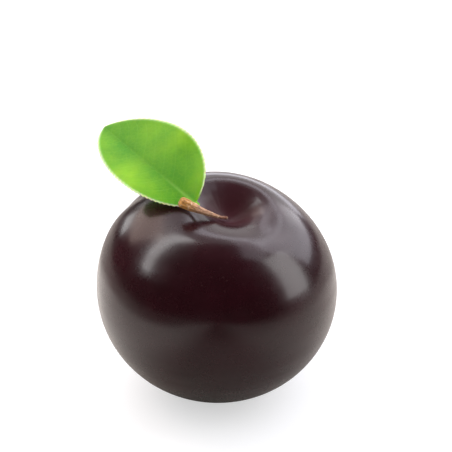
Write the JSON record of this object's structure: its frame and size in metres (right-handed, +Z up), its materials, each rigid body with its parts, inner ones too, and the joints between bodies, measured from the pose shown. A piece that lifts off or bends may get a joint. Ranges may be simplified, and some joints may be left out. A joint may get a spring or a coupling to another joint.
{
  "type": "plum",
  "caption": "Round dark purple plum with a stalk hollow and furrow, a short woody stalk and a green toothed leaf, resting on a flat spot.",
  "frame": {"origin": "middle of the small flat spot that the fruit rests on", "axes": "+Z up from the flat spot towards the stalk end, -X towards the side that the stalk and leaf lean to, -Y the front, where the stalk hollow opens"},
  "size_m": [0.0595, 0.0584, 0.0667],
  "materials": {
    "fruit": "glossy dark purple-black fruit skin with a faint waxy bloom",
    "stalk": "tan woody stalk, darker and redder at the root",
    "leaf": "fresh green leaf blade with a satin upper side"
  },
  "bodies": {
    "root": {"fruit": "fruit", "stalk": "stalk", "leaf": "leaf"}
  },
  "joints": []
}
